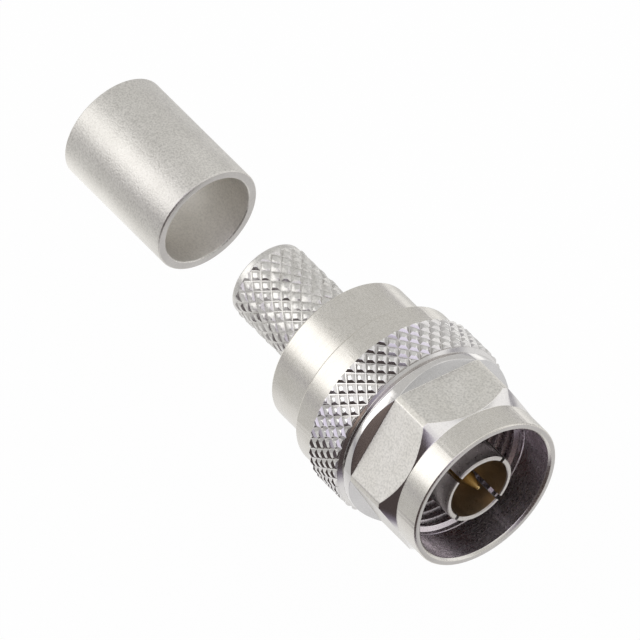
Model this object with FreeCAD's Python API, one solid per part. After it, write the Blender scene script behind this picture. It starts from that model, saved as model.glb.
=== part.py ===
import FreeCAD, Part

import math
import os
from FreeCAD import Vector

# Straight coaxial plug with a spinning coupling nut, made to be crimped on a 10.3 mm cable.
# All sizes are in millimetres. The X axis is the connector's own axis and points out of the
# mating end. The origin is on that axis in the mating plane, at the front face of the outer
# contact. +Z is up.

# Mating interface
THREAD_MAJOR_RADIUS = 7.94       # 5/8-24 coupling thread
THREAD_DEPTH = 0.49
CONTACT_BORE_RADIUS = 3.5        # inside of the slotted outer contact
CONTACT_WALL = 0.55
PIN_RADIUS = 0.825

# Coupling nut, lengths counted back from its front rim
NUT_LEAD = 1.0                   # rim ahead of the mating plane
NUT_LENGTH = 18.7
RIM_LENGTH = 3.1                 # plain front cylinder
HEX_LENGTH = 6.1
HEX_CONE_LENGTH = 1.4
FLANGE_WIDTH = 1.3
FLAT_WALL_LEAN = 0.6             # the flats' rear walls lean back this far by the corners
GROOVE_WIDTH = 0.43
KNURL_SETBACK = 0.27             # knurl's first row behind the groove
COUNTERBORE_DEPTH = 4.1
THREAD_LEAD = 0.6
RELIEF_LENGTH = 1.5              # plain relief behind the thread
RELIEF_TO_SHOULDER = 0.6

# Coupling nut, radial steps
COUNTERBORE_ROOM = 0.11          # counterbore over the thread's major radius
RIM_WALL = 0.82
FLAT_STEP = 0.03                 # flats of the hexagon over the rim
HEX_CORNER_STEP = 1.2            # turned corners over the flats
RELIEF_STEP = 0.16               # relief over the thread's major radius
NUT_WALL = 1.19                  # collar over the bore for the barrel
GROOVE_DROP = 0.38               # groove under the collar
NUT_KNURL_RISE = 0.12            # knurl's roots over the collar
NUT_KNURL_DEPTH = 0.45
NUT_KNURL_ROWS = 5
NUT_KNURL_PITCH = 0.88
NUT_KNURL_COUNT = 46
HEX_TURN = -5.55                 # degrees from +Y to the first corner

# Body: barrel and crimp stem
SHOULDER_DEPTH = 11.0            # barrel's front face behind the mating plane
BARREL_RADIUS = 8.7
BARREL_END_WALL = 1.2
BOSS_WALL = 1.0
BOSS_LENGTH = 1.5
STEM_LENGTH = 12.4
STEM_BORE_RADIUS = 3.7
STEM_WALL = 0.63                 # under the knurl's roots
STEM_NECK_DROP = 0.08
STEM_NECK_LENGTH = 0.4
STEM_END_RISE = 0.07
STEM_END_LENGTH = 0.82
STEM_KNURL_DEPTH = 0.25
STEM_KNURL_PITCH = 0.86
STEM_KNURL_COUNT = 20

# Outer contact
CONTACT_STEP = 0.2               # the thick foot starts this far behind the boss's face
FOOT_STEP = 0.55                 # the foot's bore over the contact's outside
FOOT_PAST_COLLAR = 1.48          # the foot ends this far behind the pin's collar
CONTACT_SLOT_WIDTH = 0.5
CONTACT_SLOT_LENGTH = 6.5
CONTACT_SLOT_TURN = 40.2

# Centre contact, counted back from the mating plane
PIN_TIP_DEPTH = 0.1
PIN_NOSE_RADIUS = 0.22
PIN_TAPER_LENGTH = 2.0
PIN_LENGTH = 5.3
PIN_BASE_RADIUS = 1.52
PIN_COLLAR_STEP = 0.23           # collar over the socket
PIN_COLLAR_WIDTH = 1.0
SOCKET_RADIUS = 1.97
SOCKET_LENGTH = 6.5
SOCKET_BORE_RADIUS = 1.4
SOCKET_BORE_DEPTH = 5.0
SOCKET_SLOT_WIDTH = 0.4
SOCKET_SLOT_LENGTH = 4.0

# Insulators
FRONT_BEAD_DEPTH = 7.5
BEAD_LENGTH = 5.5
BEAD_TO_METAL = 0.02             # radial room of an insulator in its bore
BEAD_TO_PIN = 0.03
SOCKET_TO_FUNNEL = 0.46
FUNNEL_THROAT_RADIUS = 1.5
FUNNEL_MOUTH_RADIUS = 2.9
FUNNEL_LENGTH = 1.3

# Snap ring
RING_DEPTH = 2.0                 # its groove behind the barrel's front face
RING_WIDTH = 1.0
RING_IN_BARREL = 0.8             # how far it reaches into the barrel
RING_IN_NUT = 0.45               # how far it reaches out past the barrel
RING_GAP_WIDTH = 1.8
RING_SIDE_ROOM = 0.08
RING_RADIAL_ROOM = 0.15

# Gasket
GASKET_THICKNESS = 1.8
GASKET_ROOM = 0.5                # radial room in the nut's relief

# Ferrule
FERRULE_WALL = 0.95
FERRULE_ROOM = 0.67              # radial room for the braid over the stem's knurl
FERRULE_LENGTH = 16.1
FERRULE_GAP = 10.0               # from the stem's end to the ferrule's mouth

# Fits and broken edges
NUT_ROOM = 0.09                  # radial room of the nut on the barrel
PRESS_ROOM = 0.01
SEAT_ROOM = 0.02
EDGE = 0.2
FINE_EDGE = 0.12
MOUTH_EDGE = 0.25

# Radii worked out from the sizes above
COUNTERBORE_RADIUS = THREAD_MAJOR_RADIUS + COUNTERBORE_ROOM
THREAD_MINOR_RADIUS = THREAD_MAJOR_RADIUS - THREAD_DEPTH
RELIEF_RADIUS = THREAD_MAJOR_RADIUS + RELIEF_STEP
RIM_RADIUS = COUNTERBORE_RADIUS + RIM_WALL
FLAT_DISTANCE = RIM_RADIUS + FLAT_STEP
HEX_CORNER_RADIUS = FLAT_DISTANCE + HEX_CORNER_STEP
NUT_BORE_RADIUS = BARREL_RADIUS + NUT_ROOM
COLLAR_RADIUS = NUT_BORE_RADIUS + NUT_WALL
GROOVE_RADIUS = COLLAR_RADIUS - GROOVE_DROP
NUT_KNURL_ROOT = COLLAR_RADIUS + NUT_KNURL_RISE
NUT_KNURL_CREST = NUT_KNURL_ROOT + NUT_KNURL_DEPTH
RING_INNER_RADIUS = BARREL_RADIUS - RING_IN_BARREL
RING_OUTER_RADIUS = BARREL_RADIUS + RING_IN_NUT
GASKET_OUTER_RADIUS = RELIEF_RADIUS - GASKET_ROOM
CONTACT_RADIUS = CONTACT_BORE_RADIUS + CONTACT_WALL
FOOT_RADIUS = CONTACT_RADIUS + FOOT_STEP
BOSS_RADIUS = FOOT_RADIUS + BOSS_WALL
STEM_KNURL_ROOT = STEM_BORE_RADIUS + STEM_WALL
STEM_KNURL_CREST = STEM_KNURL_ROOT + STEM_KNURL_DEPTH
STEM_NECK_RADIUS = STEM_KNURL_ROOT - STEM_NECK_DROP
STEM_END_RADIUS = STEM_KNURL_ROOT + STEM_END_RISE
PIN_COLLAR_RADIUS = SOCKET_RADIUS + PIN_COLLAR_STEP
SOCKET_SEAT_RADIUS = SOCKET_RADIUS + BEAD_TO_PIN
FERRULE_BORE_RADIUS = STEM_KNURL_CREST + FERRULE_ROOM
FERRULE_RADIUS = FERRULE_BORE_RADIUS + FERRULE_WALL

# Places along the axis, worked out from the sizes above
RIM_X = NUT_LEAD
CONE_X = RIM_X - RIM_LENGTH
FLANGE_FRONT_X = CONE_X - HEX_LENGTH
FLANGE_REAR_X = FLANGE_FRONT_X - FLANGE_WIDTH
GROOVE_REAR_X = FLANGE_REAR_X - GROOVE_WIDTH
KNURL_FRONT_X = GROOVE_REAR_X - KNURL_SETBACK
NUT_REAR_X = RIM_X - NUT_LENGTH
SHOULDER_X = -SHOULDER_DEPTH
BOSS_X = SHOULDER_X + BOSS_LENGTH
RELIEF_REAR_X = SHOULDER_X + RELIEF_TO_SHOULDER
RELIEF_FRONT_X = RELIEF_REAR_X + RELIEF_LENGTH
FRONT_BEAD_X = -FRONT_BEAD_DEPTH
COLLAR_FRONT_X = FRONT_BEAD_X - BEAD_LENGTH - SEAT_ROOM
COLLAR_REAR_X = COLLAR_FRONT_X - PIN_COLLAR_WIDTH
SOCKET_REAR_X = COLLAR_REAR_X - SOCKET_LENGTH
REAR_BEAD_X = COLLAR_REAR_X - SEAT_ROOM
FUNNEL_X = SOCKET_REAR_X - SOCKET_TO_FUNNEL
REAR_BEAD_END_X = FUNNEL_X - FUNNEL_LENGTH
FOOT_BORE_X = REAR_BEAD_END_X - SEAT_ROOM
CONTACT_FOOT_X = BOSS_X - CONTACT_STEP
CONTACT_REAR_X = COLLAR_REAR_X - FOOT_PAST_COLLAR
BARREL_REAR_X = FOOT_BORE_X - BARREL_END_WALL
STEM_REAR_X = BARREL_REAR_X - STEM_LENGTH
STEM_KNURL_FRONT_X = BARREL_REAR_X - STEM_NECK_LENGTH
STEM_KNURL_ROWS = round((STEM_LENGTH - STEM_NECK_LENGTH - STEM_END_LENGTH) / STEM_KNURL_PITCH)
STEM_KNURL_REAR_X = STEM_KNURL_FRONT_X - STEM_KNURL_ROWS * STEM_KNURL_PITCH
RING_FRONT_X = SHOULDER_X - RING_DEPTH
RING_REAR_X = RING_FRONT_X - RING_WIDTH
FERRULE_FRONT_X = STEM_REAR_X - FERRULE_GAP
FERRULE_REAR_X = FERRULE_FRONT_X - FERRULE_LENGTH

AXIS_START = Vector(0, 0, 0)
AXIS = Vector(1, 0, 0)
FAR = 60.0                       # longer than any cut it is used for


def turned(outline):
    """A solid of revolution about X. A point is (x, radius), or (x, radius, through_x,
    through_radius) where an arc through the second pair leads to it."""
    corners = [Vector(point[0], 0, point[1]) for point in outline]
    edges = []
    for number, point in enumerate(outline):
        start, end = corners[number - 1], corners[number]
        if (end - start).Length < 1e-7:
            continue
        if len(point) == 4:
            through = Vector(point[2], 0, point[3])
            edges.append(Part.Arc(start, through, end).toShape())
        else:
            edges.append(Part.LineSegment(start, end).toShape())
    face = Part.Face(Part.Wire(edges))
    return face.revolve(AXIS_START, AXIS, 360)


def ring(front_x, rear_x, inner, outer):
    """A plain ring or tube."""
    return turned([(front_x, inner), (front_x, outer), (rear_x, outer), (rear_x, inner)])


def cross_slots(front_x, rear_x, width, turn):
    """Two crossing slabs along the axis, which cut four slots in a tube."""
    slab = Part.makeBox(front_x - rear_x, width, FAR, Vector(rear_x, -width / 2, -FAR / 2))
    other = slab.copy()
    slab.rotate(AXIS_START, AXIS, turn)
    other.rotate(AXIS_START, AXIS, turn + 90)
    return [slab, other]


def knurl(front_x, rows, pitch, count, root, crest):
    """A plug whose outside is a diamond knurl: crests and roots take turns along every row
    and along every line, and each crest is a four-sided pyramid between helical grooves."""
    def point(row, step):
        radius = crest if (row + step) % 2 == 0 else root
        angle = math.pi * (step % (2 * count)) / count
        return Vector(front_x - row * pitch, radius * math.cos(angle), radius * math.sin(angle))

    def facet(*points):
        return Part.Face(Part.makePolygon(list(points) + [points[0]]))

    faces = []
    for row in range(rows):
        for step in range(2 * count):
            near, far = point(row, step), point(row + 1, step)
            far_next, near_next = point(row + 1, step + 1), point(row, step + 1)
            if (row + step) % 2 == 0:
                faces.append(facet(near, near_next, far))
                faces.append(facet(near_next, far_next, far))
            else:
                faces.append(facet(near, far_next, far))
                faces.append(facet(near, near_next, far_next))
    for row in (0, rows):
        faces.append(facet(*[point(row, step) for step in range(2 * count)]))
    shell = Part.makeShell(faces)
    shell.sewShape()
    plug = Part.makeSolid(shell)
    if plug.Volume < 0:
        plug.reverse()
    return plug


def one_solid(shape):
    """The single solid of a finished piece, with seams from the cuts merged."""
    shape = shape.removeSplitter()
    if len(shape.Solids) != 1:
        raise ValueError("a piece came out as %d solids" % len(shape.Solids))
    return shape.Solids[0]


def coupling_nut():
    blank = turned([
        (RIM_X, 0),
        (RIM_X, RIM_RADIUS - FINE_EDGE),
        (RIM_X - FINE_EDGE, RIM_RADIUS),
        (CONE_X, RIM_RADIUS),
        (CONE_X - HEX_CONE_LENGTH, HEX_CORNER_RADIUS),
        (FLANGE_REAR_X + FINE_EDGE, HEX_CORNER_RADIUS),
        (FLANGE_REAR_X, HEX_CORNER_RADIUS - FINE_EDGE),
        (FLANGE_REAR_X, GROOVE_RADIUS),
        (GROOVE_REAR_X, GROOVE_RADIUS),
        (GROOVE_REAR_X, COLLAR_RADIUS),
        (NUT_REAR_X + EDGE, COLLAR_RADIUS),
        (NUT_REAR_X, COLLAR_RADIUS - EDGE),
        (NUT_REAR_X, 0),
    ])
    mill_top = FLAT_DISTANCE + 2 * HEX_CORNER_STEP
    mill_side = [(RIM_X + 1, FLAT_DISTANCE), (FLANGE_FRONT_X, FLAT_DISTANCE),
                 (FLANGE_FRONT_X - 2 * FLAT_WALL_LEAN, mill_top), (RIM_X + 1, mill_top)]
    corners = [Vector(x, height, -FAR / 2) for x, height in mill_side]
    mill = Part.Face(Part.makePolygon(corners + [corners[0]])).extrude(Vector(0, 0, FAR))
    flats = []
    for side in range(6):
        cut = mill.copy()
        cut.rotate(AXIS_START, AXIS, HEX_TURN + 30 + 60 * side)
        flats.append(cut)
    blank = blank.cut(flats)
    band = knurl(KNURL_FRONT_X, NUT_KNURL_ROWS, NUT_KNURL_PITCH, NUT_KNURL_COUNT,
                 NUT_KNURL_ROOT, NUT_KNURL_CREST)
    ring_front = RING_FRONT_X + RING_SIDE_ROOM
    ring_rear = RING_REAR_X - RING_SIDE_ROOM
    ring_groove = RING_OUTER_RADIUS + RING_RADIAL_ROOM
    hollow = turned([
        (RIM_X, 0),
        (RIM_X, COUNTERBORE_RADIUS + MOUTH_EDGE),
        (RIM_X - MOUTH_EDGE, COUNTERBORE_RADIUS),
        (RIM_X - COUNTERBORE_DEPTH, COUNTERBORE_RADIUS),
        (RIM_X - COUNTERBORE_DEPTH - THREAD_LEAD, THREAD_MINOR_RADIUS),
        (RELIEF_FRONT_X, THREAD_MINOR_RADIUS),
        (RELIEF_FRONT_X, RELIEF_RADIUS),
        (RELIEF_REAR_X, RELIEF_RADIUS),
        (RELIEF_REAR_X, NUT_BORE_RADIUS),
        (ring_front, NUT_BORE_RADIUS),
        (ring_front, ring_groove),
        (ring_rear, ring_groove),
        (ring_rear, NUT_BORE_RADIUS),
        (NUT_REAR_X + EDGE, NUT_BORE_RADIUS),
        (NUT_REAR_X, NUT_BORE_RADIUS + EDGE),
        (NUT_REAR_X, 0),
    ])
    return blank.fuse(band).cut(hollow)


def connector_body():
    ring_front = RING_FRONT_X + RING_SIDE_ROOM
    ring_rear = RING_REAR_X - RING_SIDE_ROOM
    ring_groove = RING_INNER_RADIUS - RING_RADIAL_ROOM
    outside = turned([
        (BOSS_X, 0),
        (BOSS_X, BOSS_RADIUS - EDGE),
        (BOSS_X - EDGE, BOSS_RADIUS),
        (SHOULDER_X, BOSS_RADIUS),
        (SHOULDER_X, BARREL_RADIUS - EDGE),
        (SHOULDER_X - EDGE, BARREL_RADIUS),
        (ring_front, BARREL_RADIUS),
        (ring_front, ring_groove),
        (ring_rear, ring_groove),
        (ring_rear, BARREL_RADIUS),
        (BARREL_REAR_X + EDGE, BARREL_RADIUS),
        (BARREL_REAR_X, BARREL_RADIUS - EDGE),
        (BARREL_REAR_X, STEM_NECK_RADIUS),
        (STEM_KNURL_REAR_X, STEM_NECK_RADIUS),
        (STEM_KNURL_REAR_X, STEM_END_RADIUS),
        (STEM_REAR_X + FINE_EDGE, STEM_END_RADIUS),
        (STEM_REAR_X, STEM_END_RADIUS - FINE_EDGE),
        (STEM_REAR_X, 0),
    ])
    grip = knurl(STEM_KNURL_FRONT_X, STEM_KNURL_ROWS, STEM_KNURL_PITCH, STEM_KNURL_COUNT,
                 STEM_KNURL_ROOT, STEM_KNURL_CREST)
    hollow = turned([
        (BOSS_X, 0),
        (BOSS_X, FOOT_RADIUS + FINE_EDGE),
        (BOSS_X - FINE_EDGE, FOOT_RADIUS),
        (FOOT_BORE_X, FOOT_RADIUS),
        (FOOT_BORE_X, STEM_BORE_RADIUS),
        (STEM_REAR_X + FINE_EDGE, STEM_BORE_RADIUS),
        (STEM_REAR_X, STEM_BORE_RADIUS + FINE_EDGE),
        (STEM_REAR_X, 0),
    ])
    return outside.fuse(grip).cut(hollow)


def outer_contact():
    foot = FOOT_RADIUS - PRESS_ROOM
    sleeve = turned([
        (0, CONTACT_BORE_RADIUS + FINE_EDGE / 2),
        (0, CONTACT_RADIUS - FINE_EDGE),
        (-FINE_EDGE, CONTACT_RADIUS),
        (CONTACT_FOOT_X, CONTACT_RADIUS),
        (CONTACT_FOOT_X, foot - FINE_EDGE),
        (CONTACT_FOOT_X - FINE_EDGE, foot),
        (CONTACT_REAR_X, foot),
        (CONTACT_REAR_X, CONTACT_BORE_RADIUS),
        (-FINE_EDGE / 2, CONTACT_BORE_RADIUS),
    ])
    return sleeve.cut(cross_slots(1, -CONTACT_SLOT_LENGTH, CONTACT_SLOT_WIDTH, CONTACT_SLOT_TURN))


def centre_contact():
    tip_x = -PIN_TIP_DEPTH
    taper_x = tip_x - PIN_TAPER_LENGTH
    slope = math.atan2(PIN_RADIUS - PIN_NOSE_RADIUS, PIN_TAPER_LENGTH - PIN_NOSE_RADIUS)
    nose_x = tip_x - PIN_NOSE_RADIUS
    half_way = (math.pi / 2 - slope) / 2
    pin = turned([
        (SOCKET_REAR_X, 0),
        (tip_x, 0),
        (nose_x + PIN_NOSE_RADIUS * math.sin(slope), PIN_NOSE_RADIUS * math.cos(slope),
         nose_x + PIN_NOSE_RADIUS * math.cos(half_way), PIN_NOSE_RADIUS * math.sin(half_way)),
        (taper_x, PIN_RADIUS),
        (-PIN_LENGTH, PIN_RADIUS),
        (-PIN_LENGTH, PIN_BASE_RADIUS - FINE_EDGE),
        (-PIN_LENGTH - FINE_EDGE, PIN_BASE_RADIUS),
        (COLLAR_FRONT_X, PIN_BASE_RADIUS),
        (COLLAR_FRONT_X, PIN_COLLAR_RADIUS),
        (COLLAR_REAR_X, PIN_COLLAR_RADIUS),
        (COLLAR_REAR_X, SOCKET_RADIUS),
        (SOCKET_REAR_X + FINE_EDGE, SOCKET_RADIUS),
        (SOCKET_REAR_X, SOCKET_RADIUS - FINE_EDGE),
    ])
    bore = turned([
        (SOCKET_REAR_X, 0),
        (SOCKET_REAR_X, SOCKET_BORE_RADIUS + FINE_EDGE),
        (SOCKET_REAR_X + FINE_EDGE, SOCKET_BORE_RADIUS),
        (SOCKET_REAR_X + SOCKET_BORE_DEPTH, SOCKET_BORE_RADIUS),
        (SOCKET_REAR_X + SOCKET_BORE_DEPTH, 0),
    ])
    slots = cross_slots(SOCKET_REAR_X + SOCKET_SLOT_LENGTH, SOCKET_REAR_X - 1,
                        SOCKET_SLOT_WIDTH, CONTACT_SLOT_TURN)
    return pin.cut([bore] + slots)


def front_insulator():
    return ring(FRONT_BEAD_X, FRONT_BEAD_X - BEAD_LENGTH, PIN_BASE_RADIUS + BEAD_TO_PIN,
                CONTACT_BORE_RADIUS - BEAD_TO_METAL)


def rear_insulator():
    step_x = CONTACT_REAR_X - SEAT_ROOM
    return turned([
        (REAR_BEAD_X, SOCKET_SEAT_RADIUS),
        (REAR_BEAD_X, CONTACT_BORE_RADIUS - BEAD_TO_METAL),
        (step_x, CONTACT_BORE_RADIUS - BEAD_TO_METAL),
        (step_x, FOOT_RADIUS - BEAD_TO_METAL),
        (REAR_BEAD_END_X, FOOT_RADIUS - BEAD_TO_METAL),
        (REAR_BEAD_END_X, FUNNEL_MOUTH_RADIUS),
        (FUNNEL_X, FUNNEL_THROAT_RADIUS),
        (FUNNEL_X, SOCKET_SEAT_RADIUS),
    ])


def snap_ring():
    hoop = ring(RING_FRONT_X, RING_REAR_X, RING_INNER_RADIUS, RING_OUTER_RADIUS)
    gap = Part.makeBox(RING_WIDTH * 3, RING_GAP_WIDTH, FAR,
                       Vector(RING_REAR_X - RING_WIDTH, -RING_GAP_WIDTH / 2, -FAR))
    return hoop.cut(gap)


def gasket():
    rear_x = SHOULDER_X + SEAT_ROOM
    return ring(rear_x + GASKET_THICKNESS, rear_x, BOSS_RADIUS + BEAD_TO_METAL, GASKET_OUTER_RADIUS)


def crimp_ferrule():
    return turned([
        (FERRULE_FRONT_X, FERRULE_BORE_RADIUS + FINE_EDGE),
        (FERRULE_FRONT_X, FERRULE_RADIUS - FINE_EDGE),
        (FERRULE_FRONT_X - FINE_EDGE, FERRULE_RADIUS),
        (FERRULE_REAR_X + FINE_EDGE, FERRULE_RADIUS),
        (FERRULE_REAR_X, FERRULE_RADIUS - FINE_EDGE),
        (FERRULE_REAR_X, FERRULE_BORE_RADIUS + FINE_EDGE),
        (FERRULE_REAR_X + FINE_EDGE, FERRULE_BORE_RADIUS),
        (FERRULE_FRONT_X - FINE_EDGE, FERRULE_BORE_RADIUS),
    ])


PIECES = [
    coupling_nut, connector_body, outer_contact, centre_contact, front_insulator,
    rear_insulator, snap_ring, gasket, crimp_ferrule,
]

os.makedirs("parts", exist_ok=True)
for make in PIECES:
    piece = one_solid(make())
    piece.exportStep(os.path.join("parts", make.__name__ + ".step"))
    print("%-16s volume %8.1f  valid %s  faces %d"
          % (make.__name__, piece.Volume, piece.isValid(), len(piece.Faces)))
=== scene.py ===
"""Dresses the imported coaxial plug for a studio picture.

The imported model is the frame. The turned and knurled metal pieces are rebuilt here with fine
edges, a cut thread and truncated knurl pads, and each one rides on its own body. Sizes are in
millimetres along the plug's X axis, which points out of the mating end, and become metres
when a mesh is made.
"""
from __future__ import annotations

import logging
import math
import random
from collections.abc import Iterable, Sequence
from dataclasses import dataclass, field, replace
from enum import Enum
from typing import ClassVar

import bmesh
import bpy
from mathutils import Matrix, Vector

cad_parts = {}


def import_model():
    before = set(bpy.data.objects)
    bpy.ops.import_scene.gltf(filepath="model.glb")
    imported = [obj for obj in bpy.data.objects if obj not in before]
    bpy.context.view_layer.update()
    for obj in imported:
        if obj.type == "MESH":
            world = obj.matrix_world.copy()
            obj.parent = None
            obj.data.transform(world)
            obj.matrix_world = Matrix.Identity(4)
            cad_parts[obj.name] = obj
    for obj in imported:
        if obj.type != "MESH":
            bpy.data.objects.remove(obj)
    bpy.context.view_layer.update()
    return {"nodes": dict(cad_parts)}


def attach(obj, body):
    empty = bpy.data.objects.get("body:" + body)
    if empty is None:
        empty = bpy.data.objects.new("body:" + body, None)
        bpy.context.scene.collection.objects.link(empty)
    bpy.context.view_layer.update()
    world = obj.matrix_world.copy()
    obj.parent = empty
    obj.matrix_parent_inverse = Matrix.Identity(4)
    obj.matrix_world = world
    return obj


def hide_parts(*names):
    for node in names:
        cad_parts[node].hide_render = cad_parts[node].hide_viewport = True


LOG = logging.getLogger("plug")

MM = 0.001
TURN = 2 * math.pi
WEAR_AND_LIGHT_ATTRIBUTE = "wear_and_light_tone"

Pair = tuple[float, float]
Triple = tuple[float, float, float]
Colour = tuple[float, float, float]
Material = bpy.types.Material
Socket = bpy.types.NodeSocket


class Body(Enum):
    """The bodies that pieces ride on."""

    PLUG = "body"
    NUT = "nut"
    FERRULE = "ferrule"


class Slot(Enum):
    """The record's material slots that the rebuilt pieces take."""

    PLATED = "plated_brass"
    FERRULE = "ferrule_metal"
    GOLD = "gold_plating"


class Grain(Enum):
    """How the fine marks of a metal surface run."""

    TURNED = "turned"
    EVEN = "even"


class Zone(Enum):
    """The parts of a piece that were worked in different ways."""

    SATIN = "satin"
    BRIGHT = "bright"
    MILLED = "milled"
    INSIDE = "inside"
    KNURL = "knurl"
    CUT = "cut"
    WALL = "wall"


class Edge(Enum):
    """How far a corner is rounded off, in millimetres."""

    SHARP = 0.0
    KEEN = 0.01
    CRISP = 0.02
    FINE = 0.03
    SOFT = 0.04
    EASED = 0.05
    ROUND = 0.06
    FULL = 0.08
    WIDE = 0.1


Finishes = dict[Zone, Material]


@dataclass(frozen=True)
class Corner:
    """A corner of a turned outline, and the zone of the span that follows it."""

    x: float
    radius: float
    edge: Edge = Edge.FINE
    zone: Zone = Zone.SATIN


@dataclass(frozen=True)
class Spot:
    """A point of a softened outline, with its share of the edge tone of wear and painted light."""

    x: float
    radius: float
    mark: float
    zone: Zone


def corners(zone: Zone, edge: Edge, *places: Pair) -> list[Corner]:
    """Gives neighbouring corners with one rounding, each followed by a span of the zone."""
    return [Corner(x, radius, edge, zone) for x, radius in places]


# ---- mesh drafting


@dataclass
class MeshDraft:
    """Points and faces of one piece, in millimetres, before it becomes an object."""

    points: list[Triple] = field(default_factory=list)
    faces: list[tuple[int, ...]] = field(default_factory=list)
    zones: list[Zone] = field(default_factory=list)
    marks: list[float] = field(default_factory=list)

    def add(self, x: float, radius: float, angle: float, mark: float = 0.0) -> int:
        """Adds a point given by its place along the axis, radius and angle.

        Args:
            x: Place along the axis.
            radius: Distance from the axis.
            angle: Angle about X from +Y towards +Z, in radians.
            mark: Share of the edge tone, 0 to 1, which paints wear together with highlight and
                shade.

        Returns:
            The point's number.
        """
        self.points.append((x, radius * math.cos(angle), radius * math.sin(angle)))
        self.marks.append(mark)
        return len(self.points) - 1

    def face(self, numbers: Sequence[int], zone: Zone) -> None:
        """Adds one face of a zone."""
        self.faces.append(tuple(numbers))
        self.zones.append(zone)

    def quads(self, first: Sequence[int], second: Sequence[int], zones: Sequence[Zone],
              closed: bool = False) -> None:
        """Joins two rows of equal length with four-sided faces.

        Args:
            first: Point numbers of one row.
            second: Point numbers of the next row.
            zones: The zone of each span, or one zone for all of them.
            closed: Whether each row's last point joins its first.
        """
        count = len(first) if closed else len(first) - 1
        for number in range(count):
            following = (number + 1) % len(first)
            self.face((first[number], first[following], second[following], second[number]),
                      zones[number % len(zones)])

    def loft(self, columns: Sequence[Sequence[Spot]], angles: Sequence[float]) -> None:
        """Makes a closed skin from closed outlines that stand round the axis.

        Args:
            columns: One outline for each angle, all of the same length.
            angles: The outlines' angles in radians, in rising order round a whole turn.
        """
        rows = [[self.add(spot.x, spot.radius, angle, spot.mark) for spot in column]
                for column, angle in zip(columns, angles)]
        for number, row in enumerate(rows):
            self.quads(row, rows[(number + 1) % len(rows)],
                       [spot.zone for spot in columns[number]], closed=True)

    def make(self, name: str, finishes: Finishes) -> bpy.types.Object:
        """Turns the draft into an object with smooth shading and held creases.

        Args:
            name: The object's name.
            finishes: The material for each zone that the draft uses.

        Returns:
            The new object, linked to the scene.
        """
        mesh = bpy.data.meshes.new(name)
        mesh.from_pydata([tuple(value * MM for value in point) for point in self.points], [],
                         self.faces)
        layer = mesh.attributes.new(WEAR_AND_LIGHT_ATTRIBUTE, "FLOAT", "POINT")
        layer.data.foreach_set("value", self.marks)
        order = list(finishes)
        for zone in order:
            mesh.materials.append(finishes[zone])
        mesh.polygons.foreach_set("material_index", [order.index(zone) for zone in self.zones])
        face_outwards(mesh)
        shade(mesh)
        return stand(name, mesh)


def stand(name: str, mesh: bpy.types.Mesh) -> bpy.types.Object:
    """Makes an object of a mesh and links it to the scene.

    Args:
        name: The object's name.
        mesh: Its mesh.

    Returns:
        The object.
    """
    made = bpy.data.objects.new(name, mesh)
    bpy.context.scene.collection.objects.link(made)
    return made


def face_outwards(mesh: bpy.types.Mesh) -> None:
    """Turns every face of a mesh so that it looks out of the metal.

    Args:
        mesh: The mesh to change.
    """
    draft = bmesh.new()
    draft.from_mesh(mesh)
    bmesh.ops.recalc_face_normals(draft, faces=draft.faces)
    draft.to_mesh(mesh)
    draft.free()


def shade(mesh: bpy.types.Mesh, crease: float = 38.0) -> None:
    """Shades a mesh smoothly, with a hard edge where faces meet above the crease in degrees."""
    mesh.shade_smooth()
    mesh.set_sharp_from_angle(angle=math.radians(crease))


def even_shading(piece: bpy.types.Object) -> None:
    """Lets large faces set the shading, so that rounded edges don't bend the light on flats.

    Args:
        piece: The object that gets the modifier.
    """
    weighted = piece.modifiers.new("even_shading", "WEIGHTED_NORMAL")
    weighted.keep_sharp = True
    weighted.weight = 80


SPAN_LIMIT = 0.45
LEAST_REACH = 1e-6
EDGE_STEPS = 2
EDGE_END_MARK = 0.4


def softened(outline: Sequence[Corner]) -> list[Spot]:
    """Rounds the corners of a closed outline.

    Args:
        outline: The outline's corners.

    Returns:
        The softened outline, with the same number of points for any outline of the same length.
        The mark is 1 in the middle of a rounded corner.
    """
    made: list[Spot] = []
    for number, corner in enumerate(outline):
        before, after = outline[number - 1], outline[(number + 1) % len(outline)]
        place = Vector((corner.x, corner.radius))
        back = Vector((before.x, before.radius)) - place
        ahead = Vector((after.x, after.radius)) - place
        reach = max(LEAST_REACH, min(corner.edge.value, SPAN_LIMIT * back.length,
                                     SPAN_LIMIT * ahead.length))
        start = place + back.normalized() * reach
        end = place + ahead.normalized() * reach
        for step in range(EDGE_STEPS + 1):
            share = step / EDGE_STEPS
            point = start * (1 - share) ** 2 + place * (2 * share * (1 - share)) + end * share ** 2
            # A rounded corner's middle takes the full edge tone: painted highlight and shade, with
            # wear.
            mark = 1.0 if 0 < step < EDGE_STEPS else EDGE_END_MARK
            made.append(Spot(point.x, point.y, mark, before.zone if step < 1 else corner.zone))
    return made


def turned_piece(outline: Sequence[Corner], columns: int = 192) -> MeshDraft:
    """Makes a closed turned ring from an outline that doesn't touch the axis.

    Args:
        outline: The ring's corners.
        columns: How many columns stand round the axis.

    Returns:
        The draft of the ring.
    """
    draft = MeshDraft()
    column = softened(outline)
    draft.loft([column] * columns, [TURN * number / columns for number in range(columns)])
    return draft


SQUARE = ((-1, -1), (1, -1), (1, 1), (-1, 1))
SLAB_FACES = ((0, 1, 2, 3), (7, 6, 5, 4), (0, 4, 5, 1), (1, 5, 6, 2), (2, 6, 7, 3), (3, 7, 4, 0))
SLAB_MARGIN = 1.0


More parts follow.
